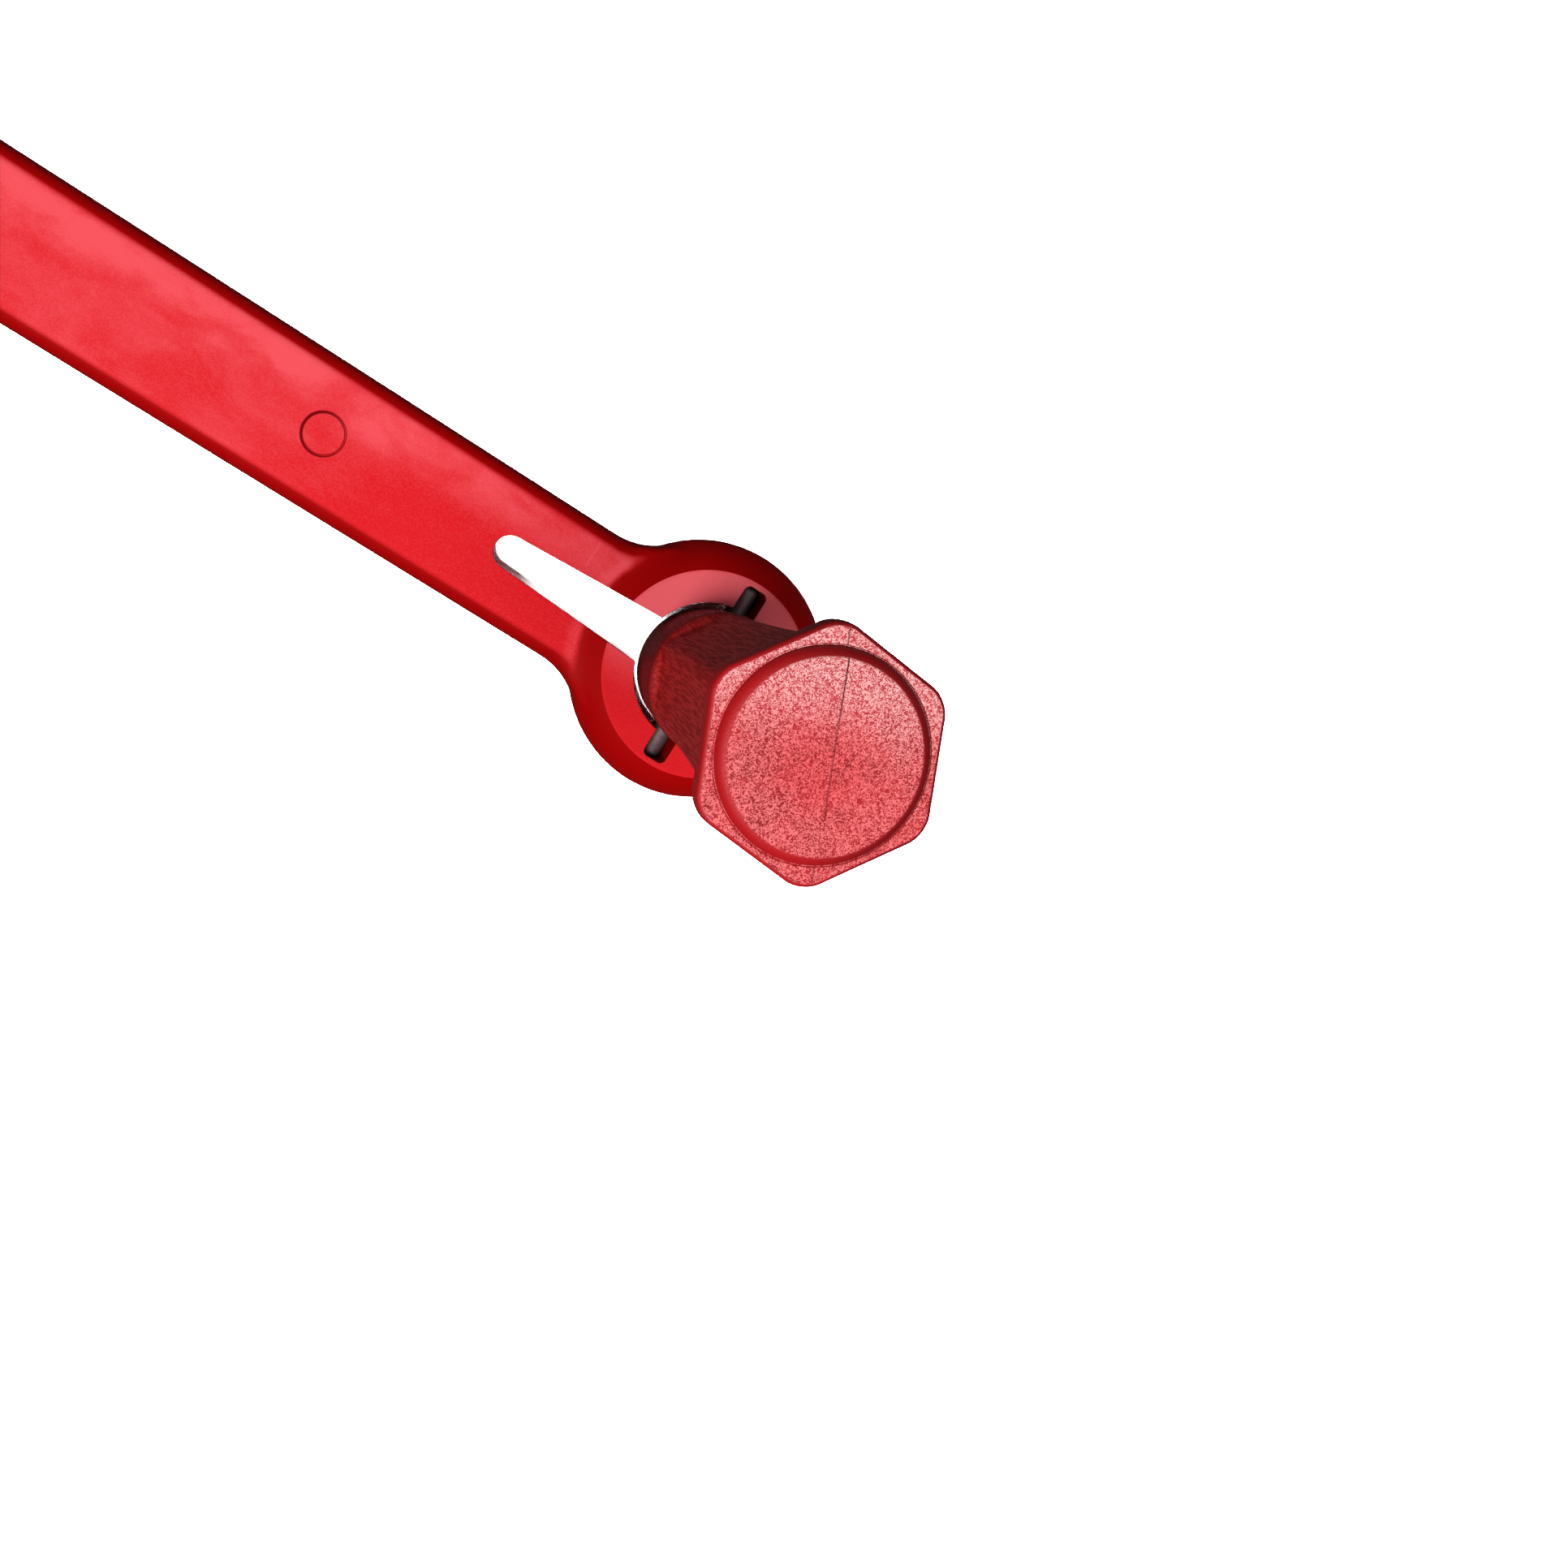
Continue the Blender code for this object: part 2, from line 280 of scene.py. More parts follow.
# %% The ring
RIM_R = 20.0 * MM
LAND = 1.0 * MM
BULGE = math.radians(20.0)
FACING = 1.5 * MM
CONE = math.radians(34.0)
CORE_R = 11.0 * MM


def bulged(start, end, lean, steps):
    """Arc from start to end that leaves their chord by an angle, bulging to its left."""
    a, b = Vector(start), Vector(end)
    chord = b - a
    radius = chord.length / (2.0 * math.sin(lean))
    away = Vector((chord.y, -chord.x)).normalized()
    centre = (a + b) / 2 + away * radius * math.cos(lean)
    spoke = a - centre
    points = []
    for i in range(steps + 1):
        turn = -2.0 * lean * i / steps
        c, s = math.cos(turn), math.sin(turn)
        points.append((centre.x + spoke.x * c - spoke.y * s, centre.y + spoke.x * s + spoke.y * c))
    return points


above_rim = (RIM_R - FACING / math.tan(CONE), RING_T + FACING)
flank = [above_rim] + bulged((RIM_R, RING_T), (RING_R, MID_Z + LAND), BULGE, 12)
lower_flank = [(radius, RING_T - height) for radius, height in reversed(flank)]
section = flank + lower_flank + [(CORE_R, -FACING), (CORE_R, RING_T + FACING)]
hoop = turned("hoop", section, RING_X)
print("hoop", [round(side / MM, 1) for side in hoop.dimensions], "mm")

# %% [markdown]
# Where the handle's two arms meet the ring, the ring's flank comes down to the handle's face as a
# plain cone with a small hollow fillet at its foot. It is turned as its own ring, and trimmed to
# the handle's plan, drawn in by a little so that it ends before the rounded edges. The far end
# has a boss round its hanging hole, thick enough to lie level with the ring.

# %% The cone over the arms, and the boss
FOOT_FILLET = 5.0 * MM
PLAN_INSET = 2.0 * MM
CONE_DEPTH = 3.0 * MM
SINK = 0.3 * MM
EYE_BOSS_R = 10.8 * MM
EYE_BOSS_SLOPE = 1.4 * MM
EYE_BOSS_LEAN = 0.6 * MM
EYE_BOSS_SINK = 0.5 * MM

cone_r = RIM_R + (RING_T - BAR_HIGH) / math.tan(CONE)
fillet_centre = (cone_r + FOOT_FILLET * math.tan(CONE / 2), BAR_HIGH + FOOT_FILLET)
foot = arc(fillet_centre, FOOT_FILLET, 270.0 - math.degrees(CONE), 270.0, 8)
outer_r, inner_r = foot[-1][0] + MM, RIM_R - CONE_DEPTH
tail = [(outer_r, BAR_HIGH - SINK), (outer_r, MID_Z), (inner_r, MID_Z)]
cone = turned("cone", [above_rim] + foot + tail + [(inner_r, RING_T + FACING)], RING_X)

edit(footprint)
pick(footprint, "faces", lambda face: face.normal.z > FLAT)
bpy.ops.mesh.inset(thickness=PLAN_INSET)
bpy.ops.mesh.extrude_region_move(TRANSFORM_OT_translate={"value": (0.0, 0.0, HANDLE_T)})
only(footprint)
combine(cone, footprint, "INTERSECT")

boss_side = EYE_BOSS_R - EYE_BOSS_SLOPE
boss_rise = (RING_T - HANDLE_T) / 2 + EYE_BOSS_SINK
boss_half = [
    (boss_side - EYE_BOSS_LEAN, RING_T + FACING),
    (boss_side, RING_T),
    (EYE_BOSS_R, RING_T - boss_rise),
]
boss_section = boss_half + [(r, RING_T - z) for r, z in reversed(boss_half)]
boss = turned("boss", boss_section + [(MM, -FACING), (MM, RING_T + FACING)], EYE_X)
print("cone foot at radius", round(foot[-1][0] / MM, 1), "mm")

# %% [markdown]
# A moulding has no sharp inside corners, because plastic flows round them. Joining the solids and
# remeshing them with small voxels makes one skin, and a few passes of smoothing then melt every
# seam between them by about a millimetre. Bevels could do the same only where the seams are
# simple lines. The corners beside the neck get some more passes. The skin is then cut flat at the
# two finished faces, and the rim that each cut leaves round the ring is made a true circle.

# %% One moulded skin
VOXEL = 0.5 * MM
CORNER_LOW, CORNER_HIGH = 22.0 * MM, 30.0 * MM
CORNER_Y, CORNER_Z = 9.0 * MM, 0.55 * HANDLE_T / 2
SKIN_PASSES, CORNER_PASSES = 6, 24
RIM_BAND = 0.8 * MM

lever_body = joined("lever_body", bar, hoop, cone, boss)
modify(lever_body, "REMESH", mode="VOXEL", voxel_size=VOXEL, adaptivity=0.0)
modify(lever_body, "SMOOTH", factor=0.5, iterations=SKIN_PASSES)
edit(lever_body, "VERT")


def in_the_corner(vert):
    """Near the faces of the handle, where its neck runs into the ring."""
    reach = math.hypot(vert.co.x - RING_X, vert.co.y)
    beside = vert.co.x < BAR_END and abs(vert.co.y) > CORNER_Y
    outside = abs(vert.co.z - MID_Z) > CORNER_Z
    return outside and beside and CORNER_LOW < reach < CORNER_HIGH


pick(lever_body, "verts", in_the_corner)
bpy.ops.mesh.vertices_smooth(factor=0.5, repeat=CORNER_PASSES)
edit(lever_body)
for height, direction in ((RING_T, 1.0), (0.0, -1.0)):
    bpy.ops.mesh.select_all(action="SELECT")
    bpy.ops.mesh.bisect(
        plane_co=(0.0, 0.0, height),
        plane_no=(0.0, 0.0, direction),
        use_fill=True,
        clear_outer=True,
        threshold=TINY,
    )
only(lever_body)


def trued(obj, height):
    """Make the rim of the ring's flat face at a height a true circle.

    Returns how many points it has, and its radius in millimetres.
    """
    spokes = {}
    for vert in obj.data.vertices:
        spoke = Vector((vert.co.x - RING_X, vert.co.y))
        if abs(vert.co.z - height) < TINY and abs(spoke.length - RIM_R) < RIM_BAND:
            spokes[vert] = spoke
    radius = sum(spoke.length for spoke in spokes.values()) / len(spokes)
    for vert, spoke in spokes.items():
        on_circle = spoke * (radius / spoke.length)
        vert.co.x, vert.co.y = RING_X + on_circle.x, on_circle.y
    return len(spokes), round(radius / MM, 2)


print("rims", trued(lever_body, RING_T), trued(lever_body, 0.0))
print("skin", triangles(lever_body), "triangles")

# %% [markdown]
# The openings have clean edges, because steel pins and blades in the mould form them. They are
# cut after the smoothing: the bore, the tapered slot that lets the ring spring, two blind
# notches for the cross pin, the hanging hole, and the thin groove that an ejector pin leaves.

# %% The openings
BORE_R = 13.85 * MM
SLOT_LENGTH = 46.6 * MM
SLOT_END_R = 3.15 * MM
SLOT_MOUTH_HALF = 5.05 * MM
SLOT_MOUTH_X = 9.7 * MM
NOTCH_REACH = 18.9 * MM
NOTCH_CORNER = 1.2 * MM
EYE_R = 6.0 * MM
GAP = 0.3 * MM
PAST = 3.0 * MM
MARK_X, MARK_Y = 21.5 * MM, 0.2 * MM
MARK_R = 3.95 * MM
MARK_GROOVE = 0.24 * MM
MARK_RISE = 0.02 * MM
MARK_TILT = (math.radians(0.3), math.radians(-0.8), 0.0)
PIN_R = (pin_high.z - pin_low.z) / 2
PIN_Z = (pin_high.z + pin_low.z) / 2
NOTCH_HALF = PIN_R + GAP
LOW, HIGH = -PAST, RING_T + PAST

openings = cylinder("openings", BORE_R, LOW, HIGH, RING_X)

nothing()
slot_x = RING_X - SLOT_LENGTH + SLOT_END_R
bpy.ops.mesh.primitive_circle_add(
    vertices=48, radius=SLOT_END_R, fill_type="NGON", location=(slot_x, 0.0, LOW)
)
slot = named("slot")
edit(slot, "VERT")
pick(slot, "verts", lambda v: v.co.x > slot_x + TOUCH)
bpy.ops.transform.translate(value=(RING_X - SLOT_MOUTH_X - slot_x, 0.0, 0.0))
bpy.ops.transform.resize(
    value=(1.0, SLOT_MOUTH_HALF / SLOT_END_R, 1.0),
    center_override=(RING_X - SLOT_MOUTH_X, 0.0, LOW),
)
bpy.ops.mesh.select_all(action="SELECT")
bpy.ops.mesh.extrude_region_move(TRANSFORM_OT_translate={"value": (0.0, 0.0, HIGH - LOW)})
bpy.ops.mesh.select_all(action="SELECT")
bpy.ops.mesh.normals_make_consistent(inside=False)
combine(openings, slot, "UNION")

for side in (1, -1):
    inner, outer = sorted((side * (BORE_R - PAST), side * NOTCH_REACH))
    near_corner = (RING_X - NOTCH_HALF, inner, PIN_Z - NOTCH_HALF)
    notch = block("notch", near_corner, (RING_X + NOTCH_HALF, outer, HIGH))
    edit(notch, "EDGE")
    pick(
        notch,
        "edges",
        lambda e: abs(e.verts[0].co.y - side * NOTCH_REACH) < TOUCH
        and abs(e.verts[0].co.z - e.verts[1].co.z) > MM,
    )
    bpy.ops.mesh.bevel(offset=NOTCH_CORNER, segments=8, affect="EDGES")
    only(notch)
    combine(openings, notch, "UNION")

hanging_hole = cylinder("hanging hole", EYE_R, LOW, HIGH, EYE_X)
nothing()
bpy.ops.mesh.primitive_torus_add(
    major_segments=96,
    minor_segments=10,
    major_radius=MARK_R,
    minor_radius=MARK_GROOVE,
    location=(MARK_X, MARK_Y, BAR_HIGH + MARK_RISE),
    rotation=MARK_TILT,
)
mark = named("ejector mark")
openings = joined("openings", openings, hanging_hole, mark)
combine(lever_body, openings, "DIFFERENCE")
print("lever", triangles(lever_body), "triangles")

# %% [markdown]
# The drive plug has a round collar below, a six-sided shank that flares towards its end, and a
# hexagonal flange with a round disc on its face. The collar is turned. The shank is a
# six-sided circle pulled up in steps, each a (height, corner radius), growing at each one. Both
# are then melted into one skin, as on the lever, so that the collar's shoulder runs softly into
# the shank.

# %% The collar and the shank
FOOT_R = 9.0 * MM
COLLAR_Z = 9.0 * MM
COLLAR_R0 = 12.25 * MM
COLLAR_R1 = 13.6 * MM
COLLAR_TOP = 27.5 * MM
SHOULDER = 1.6 * MM
FOOT_CHAMFER = 0.8 * MM
SHANK_CORNER = 1.5 * MM
PLUG_VOXEL = 0.45 * MM
PLUG_PASSES = 5
HEX_ACROSS_FLATS = 39.0 * MM
HEX_CORNER_R = HEX_ACROSS_FLATS / math.sqrt(3.0)
DISC_H = 1.8 * MM
HEX_TOP = plug_high.z - DISC_H
HEX_T = 4.2 * MM
HEX_LOW = HEX_TOP - HEX_T
HEX_TURN = math.radians(-5.1)
SHANK = (
    (22.0 * MM, 13.3 * MM),
    (34.0 * MM, 14.2 * MM),
    (48.0 * MM, 15.2 * MM),
    (62.0 * MM, 16.2 * MM),
    (76.0 * MM, 17.4 * MM),
    (88.0 * MM, 19.0 * MM),
    (94.0 * MM, 20.4 * MM),
)

cone_h = COLLAR_R0 - FOOT_R
foot_z = plug_low.z
shoulder = arc((COLLAR_R1 - SHOULDER, COLLAR_TOP - SHOULDER), SHOULDER, 90.0, 0.0, 8)
collar_section = [(0.0, COLLAR_TOP)] + shoulder
collar_section += [(COLLAR_R0, COLLAR_Z), (FOOT_R, COLLAR_Z - cone_h)]
collar_section += [(FOOT_R, foot_z + FOOT_CHAMFER), (FOOT_R - FOOT_CHAMFER, foot_z), (0.0, foot_z)]
collar = turned("collar", collar_section, RING_X)


def hexagon(name, sections, corner, steps):
    """Six-sided shape through (height, corner radius) sections, with rounded upright edges."""
    nothing()
    bpy.ops.mesh.primitive_circle_add(
        vertices=6,
        radius=sections[0][1],
        fill_type="NGON",
        location=(RING_X, 0.0, sections[0][0]),
        rotation=(0.0, 0.0, HEX_TURN - math.pi / 2),
    )
    obj = named(name)
    edit(obj)
    bpy.ops.mesh.select_all(action="SELECT")
    for (low, old), (high, new) in zip(sections, sections[1:]):
        bpy.ops.mesh.extrude_region_move(TRANSFORM_OT_translate={"value": (0.0, 0.0, high - low)})
        bpy.ops.transform.resize(
            value=(new / old, new / old, 1.0), center_override=(RING_X, 0.0, high)
        )
    bpy.ops.mesh.select_all(action="SELECT")
    bpy.ops.mesh.normals_make_consistent(inside=False)
    edit(obj, "EDGE")
    pick(obj, "edges", lambda e: abs(e.verts[0].co.z - e.verts[1].co.z) > 0.5 * MM)
    bpy.ops.mesh.bevel(offset=corner, segments=steps, affect="EDGES")
    only(obj)
    return obj


shank = hexagon("shank", SHANK, SHANK_CORNER, 6)
plug_body = joined("plug_body", collar, shank)
modify(plug_body, "REMESH", mode="VOXEL", voxel_size=PLUG_VOXEL, adaptivity=0.0)
modify(plug_body, "SMOOTH", factor=0.5, iterations=PLUG_PASSES)
print("shank", triangles(plug_body), "triangles")

# %% [markdown]
# The flange keeps a thin bright line round its rim, so its upper edge gets a small rounding. The
# disc is a low turned cap: slightly hollow in the middle, with a full rounding at its edge and a
# fine groove at its foot, where it meets the flange. A hair-thin groove crosses both, where the
# two halves of the mould met.

# %% The flange and the disc
HEX_CORNER = 3.3 * MM
HEX_RIM = 0.8 * MM
DISC_R = 17.8 * MM
DISC_EDGE = 2.1 * MM
DISH = 0.35 * MM
DISC_TOP = HEX_TOP + DISC_H
DISC_LOW = HEX_LOW + 2.0 * MM
CREASE_R = 0.22 * MM
CREASE_OUT, CREASE_UP = 0.08 * MM, 0.04 * MM

flange = hexagon("flange", ((HEX_LOW, HEX_CORNER_R), (HEX_TOP, HEX_CORNER_R)), HEX_CORNER, 10)
edit(flange, "EDGE")
pick(flange, "edges", is_long_edge)
bpy.ops.mesh.bevel(offset=HEX_RIM, segments=5, affect="EDGES")
only(flange)

crown_r = DISC_R - DISC_EDGE
shares = (0.0, 0.2, 0.4, 0.6, 0.8)
hollow = [(crown_r * share, DISC_TOP - DISH * (1.0 - share**2) ** 2) for share in shares]
edge = arc((crown_r, DISC_TOP - DISC_EDGE), DISC_EDGE, 90.0, 0.0, 10)
disc = turned("disc", hollow + edge + [(DISC_R, DISC_LOW), (0.0, DISC_LOW)], RING_X)
combine(flange, disc, "UNION")
nothing()
bpy.ops.mesh.primitive_torus_add(
    major_segments=TURN_STEPS,
    minor_segments=10,
    major_radius=DISC_R + CREASE_OUT,
    minor_radius=CREASE_R,
    location=(RING_X, 0.0, HEX_TOP + CREASE_UP),
)
combine(flange, named("crease"), "DIFFERENCE")
combine(plug_body, flange, "UNION")

# %% The mould line and the pin's hole
LINE_ANGLE = math.radians(115.0)
LINE_OFFSET = 1.3 * MM
LINE_HALF = 0.11 * MM
LINE_ON_DISC = (-10.0 * MM, 16.2 * MM)
LINE_ON_FLANGE = (18.3 * MM, 24.0 * MM)
DISC_LINE_DEPTH, FLANGE_LINE_DEPTH = 0.08 * MM, 0.13 * MM


def line_cutter(start, end, low, high):
    """A thin upright blade along the mould line, from start to end along the line."""
    blade = block("blade", (start, -LINE_HALF, low), (end, LINE_HALF, high))
    only(blade)
    bpy.ops.transform.translate(value=(0.0, -LINE_OFFSET, 0.0))
    bpy.ops.transform.rotate(value=-LINE_ANGLE, orient_axis="Z", center_override=(0.0, 0.0, 0.0))
    bpy.ops.transform.translate(value=(RING_X, 0.0, 0.0))
    bpy.ops.object.transform_apply(location=True, rotation=True, scale=True)
    return blade


flange_floor = HEX_TOP - FLANGE_LINE_DEPTH
near, far = LINE_ON_FLANGE
blades = [
    line_cutter(*LINE_ON_DISC, DISC_TOP - DISH - DISC_LINE_DEPTH, DISC_TOP + MM),
    line_cutter(near, far, flange_floor, HEX_TOP + MM),
    line_cutter(-far, -near, flange_floor, HEX_TOP + MM),
]
nothing()
bpy.ops.mesh.primitive_cylinder_add(
    vertices=48,
    radius=PIN_R + GAP / 2,
    depth=4 * COLLAR_R1,
    location=(RING_X, 0.0, PIN_Z),
    rotation=(math.pi / 2, 0.0, 0.0),
)
combine(plug_body, joined("cuts", named("pin bore"), *blades), "DIFFERENCE")
print("plug", triangles(plug_body), "triangles")

# %% [markdown]
# Shading is set to smooth everywhere except at real edges, which a moulding keeps only where two
# steel parts of the mould meet.

# %% Smooth shading
for piece, angle in ((lever_body, 26.0), (plug_body, 30.0)):
    only(piece)
    bpy.ops.object.shade_smooth_by_angle(angle=math.radians(angle))
nothing()

# %% [markdown]
# A material is a small sum: a colour here, plus a little of another colour there. Written as
# nodes, such sums are long, so a small class lets them be written as ordinary arithmetic. Each
# plus or times sign adds one Math node to the material.


# %% A small language for materials
class Value:
    """An output of a node. Arithmetic on it adds Math nodes."""

    def __init__(self, graph, socket):
        self.graph = graph
        self.socket = socket

    def math(self, operation, *values):
        return self.graph.add("ShaderNodeMath", {"operation": operation}, dict(enumerate(values)))

    def __add__(self, other):
        return self.math("ADD", self, other)

    def __sub__(self, other):
        return self.math("SUBTRACT", self, other)

    def __rsub__(self, other):
        return self.math("SUBTRACT", other, self)

    def __mul__(self, other):
        return self.math("MULTIPLY", self, other)

    def __pow__(self, other):
        return self.math("POWER", self, other)

    __radd__ = __add__
    __rmul__ = __mul__

    def size(self):
        return self.math("ABSOLUTE", self)

    def between(self, low, high):
        """0 at low, 1 at high, with a soft start and end."""
        return self.graph.add(
            "ShaderNodeMapRange",
            {"interpolation_type": "SMOOTHSTEP"},
            {"Value": self, "From Min": low, "From Max": high},
        )

    def band(self, start, full, fade, end):
        """0 up to start, 1 from full to fade, 0 from end on."""
        return self.between(start, full) * (1.0 - self.between(fade, end))

    def near(self, place, full, end):
        """1 within full of a place, 0 further than end from it."""
        return 1.0 - (self - place).size().between(full, end)


class Graph:
    """A new material, and the one way to add a node to it."""

    def __init__(self, name):
        self.material = bpy.data.materials.new(name)
        self.material.use_nodes = True
        self.tree = self.material.node_tree
        self.shader = self.tree.nodes["Principled BSDF"]

    def add(self, kind, settings=None, inputs=None, output=0):
        """A new node of a kind, with its settings and inputs, and one of its outputs."""
        node = self.tree.nodes.new(kind)
        for key, value in (settings or {}).items():
            setattr(node, key, value)
        for key, value in (inputs or {}).items():
            self.feed(node.inputs[key], value)
        return Value(self, node.outputs[output])

    def feed(self, socket, value):
        """Link a value to a socket, or set the socket to a plain number."""
        if isinstance(value, Value):
            self.tree.links.new(value.socket, socket)
        else:
            socket.default_value = value

    def finish(self, **inputs):
        """Set or link the shader's own sockets, with spaces written as underscores."""
        for key, value in inputs.items():
            self.feed(self.shader.inputs[key.replace("_", " ")], value)
        return self.material

    def place(self, stretch=(1.0, 1.0, 1.0), turn=0.0, centre=(0.0, 0.0, 0.0)):
        """Object coordinates from a centre, stretched, then turned about Z."""
        coordinates = self.add("ShaderNodeTexCoord", output="Object")
        moved = self.add(
            "ShaderNodeVectorMath", {"operation": "SUBTRACT"}, {0: coordinates, 1: centre}
        )
        inputs = {"Vector": moved, "Rotation": (0.0, 0.0, turn), "Scale": stretch}
        return self.add("ShaderNodeMapping", None, inputs)

    def axes(self, vector):
        """The three parts of a vector."""
        split = self.add("ShaderNodeSeparateXYZ", None, {0: vector})
        node = split.socket.node
        return [Value(self, node.outputs[i]) for i in range(3)]

    def upward(self):
        """The height part of the surface's direction, 1 where it faces straight up."""
        return self.axes(self.add("ShaderNodeTexCoord", output="Normal"))[2]

    def noise(self, vector, size, detail=2.0, roughness=0.5, distortion=0.0):
        """Soft noise, 0 to 1, whose blots are about size across."""
        return self.add(
            "ShaderNodeTexNoise",
            None,
            {
                "Vector": vector,
                "Scale": 1.0 / size,
                "Detail": detail,
                "Roughness": roughness,
                "Distortion": distortion,
            },
        )

    def mix(self, share, first, second):
        """Colours blended by share."""
        node = self.tree.nodes.new("ShaderNodeMix")
        node.data_type = "RGBA"
        self.feed(node.inputs["Factor"], share)
        self.feed(node.inputs[6], first)
        self.feed(node.inputs[7], second)
        return Value(self, node.outputs[2])

    def rounded(self, radius):
        """The surface's direction, with edges softened over a radius."""
        return self.add("ShaderNodeBevel", {"samples": 4}, {"Radius": radius})

    def bump(self, height, distance, strength=1.0, normal=None):
        """The surface's direction, with height added as bumps of a distance."""
        inputs = {"Height": height, "Distance": distance, "Strength": strength}
        if normal is not None:
            inputs["Normal"] = normal
        return self.add("ShaderNodeBump", None, inputs)


def length(x, y):
    """How far (x, y) is from the middle."""
    return (x * x + y * y) ** 0.5


def srgb(red, green, blue):
    """A colour given as it looks on a screen, 0 to 255, as linear light."""
    shares = [level / 255 for level in (red, green, blue)]
    linear = [((c + 0.055) / 1.055) ** 2.4 if c > 0.04 else c / 12.92 for c in shares]
    return (*linear, 1.0)


# %% [markdown]
# The lever is moulded in a bright red nylon. Its faces are matt with a fine even grain. The faces
# that look up are painted paler pink as sheen, strongest at the far end and along the +Y side,
# broken into clouds and streaks along the handle like the melt's flow marks. The ring's flat face
# has painted light and shade across its width: pale towards +Y, deep red towards -Y. The flanks
# and rounded edges, which turn away from the light, are painted a plain darker red as shade.
# Three small marks are drawn in: a pale line at the cone's foot, which is a painted highlight, a
# short pale line across the handle, which is a mark of the mould, and a dark ring in the
# ejector's groove, which is painted shade, strongest on its -X side.

# %% Red moulded plastic
CLOUD_SIZE, STREAK_SIZE, GRAIN_SIZE = 9.0 * MM, 2.2 * MM, 0.32 * MM
FADE_START, FADE_END, FADE_SLANT = 20.0 * MM, 46.0 * MM, 1.3
# Radii of the painted highlight round the cone's foot: where it starts, is full, fades and ends.
FOOT_HIGHLIGHT = (24.2 * MM, 25.4 * MM, 25.6 * MM, 28.0 * MM)
SHORT_LINE_X = 75.0 * MM
SHORT_LINE_Y = (5.0 * MM, 5.8 * MM, 10.2 * MM, 11.0 * MM)

g = Graph("moulded red plastic")
at = g.place()
x, y, z = g.axes(at)
clouds = g.noise(g.place((0.6, 1.0, 1.0)), CLOUD_SIZE, 3.0, 0.55, 0.4)
streaks = g.noise(g.place((0.3, 1.0, 1.0), turn=0.5), STREAK_SIZE, 3.0, 0.6, 0.8)
grain = g.noise(at, GRAIN_SIZE, 2.0, 0.7)
facing = g.upward().size().between(0.92, 0.998)
from_axis = length(x - RING_X, y)
from_mark = length(x - MARK_X, y - MARK_Y)

# Painted sheen: faces that look up are painted paler pink towards the far end and along the +Y
# side, broken into clouds and streaks.
far_end = 1.0 - (x - y * FADE_SLANT).between(FADE_START, FADE_END)
upper_side = y.between(0.0, 8.0 * MM)
painted_sheen_and_marks = far_end * 0.6 + upper_side * 0.85 + streaks.between(0.4, 0.7) * 0.12
painted_sheen_and_marks = painted_sheen_and_marks * (clouds.between(0.32, 0.68) * 0.75 + 0.35)

flat_ring = 1.0 - from_axis.between(RIM_R - MM, RIM_R + MM)
flat_ring = flat_ring * z.between(RING_T - 0.8 * MM, RING_T - 0.3 * MM)
# Painted light and shade on the ring's flat face: paler towards +Y, deeper red towards -Y.
ring_highlight = flat_ring * y.between(-14.0 * MM, 6.0 * MM)
ring_shade = flat_ring * (1.0 - y.between(-14.0 * MM, -2.0 * MM))
# Painted highlight: a pale line round the foot of the cone over the arms.
foot_highlight = from_axis.band(*FOOT_HIGHLIGHT)
short_line = y.band(*SHORT_LINE_Y) * x.near(SHORT_LINE_X, 0.08 * MM, 0.3 * MM)
painted_sheen_and_marks = (painted_sheen_and_marks + ring_highlight * 0.7 + foot_highlight * 0.5 + short_line * 0.45) * facing

# Painted shade: a dark ring in the ejector's groove, strongest on its -X side.
shadowed = from_mark.near(MARK_R, 0.1 * MM, 0.4 * MM)
shadowed = shadowed * (1.0 - (x - MARK_X).between(-MARK_R, MARK_R * 1.2) * 0.6)

paleness = grain.between(0.38, 0.64) * 0.26 + painted_sheen_and_marks * 0.75 - 0.09
grain_and_sheen_red = g.mix(paleness, srgb(226, 22, 32), srgb(246, 82, 92))
grain_and_sheen_red = g.mix(ring_highlight * 0.65, grain_and_sheen_red, srgb(255, 112, 120))
grain_and_sheen_red = g.mix(ring_shade * 0.6, grain_and_sheen_red, srgb(208, 18, 28))
# Painted shade: flanks and rounded edges, which turn away from the light, get a plain darker red.
plain = g.mix(facing, srgb(164, 0, 1), grain_and_sheen_red)
lever_red = g.finish(
    Base_Color=g.mix(shadowed, plain, srgb(128, 0, 6)),
    Roughness=0.52 + grain * 0.1,
    Specular_IOR_Level=0.06,
    Normal=g.bump(grain, 0.035 * MM, 0.9, g.rounded(0.35 * MM)),
)

# %% [markdown]
# The plug comes from another mould, whose cavity was spark eroded: its face has a coarse, leather
# like grain of short worms, whose peaks are painted pale pink as sheen and whose valleys are
# painted dark red as shade. On the sides the draw of the mould has combed the grain into streaks
# along the axis. Both are noise, the worms bent by their own distortion, and the same height
# drives colour and bump together. The face is redder in the middle, and is painted paler towards
# its +Y side as light. The mould line is a little darker than the face. The flange's sides and
# its rounded rim are a plain polished red, painted with light and shade: paler towards -X and -Y,
# darker towards +X and +Y. The collar is painted a deeper red as the shade it stands in inside
# the bore. Heights here count from the flange's face.

# %% Grained red plastic
WORM_SIZE, COMBED_SIZE, SLOW_SIZE = 0.5 * MM, 0.5 * MM, 7.0 * MM
COLLAR_END = COLLAR_TOP - HEX_TOP
ON_LINE = (-13.0 * MM, -2.0 * MM)
PAST_DISC = (-18.4 * MM, -17.6 * MM)

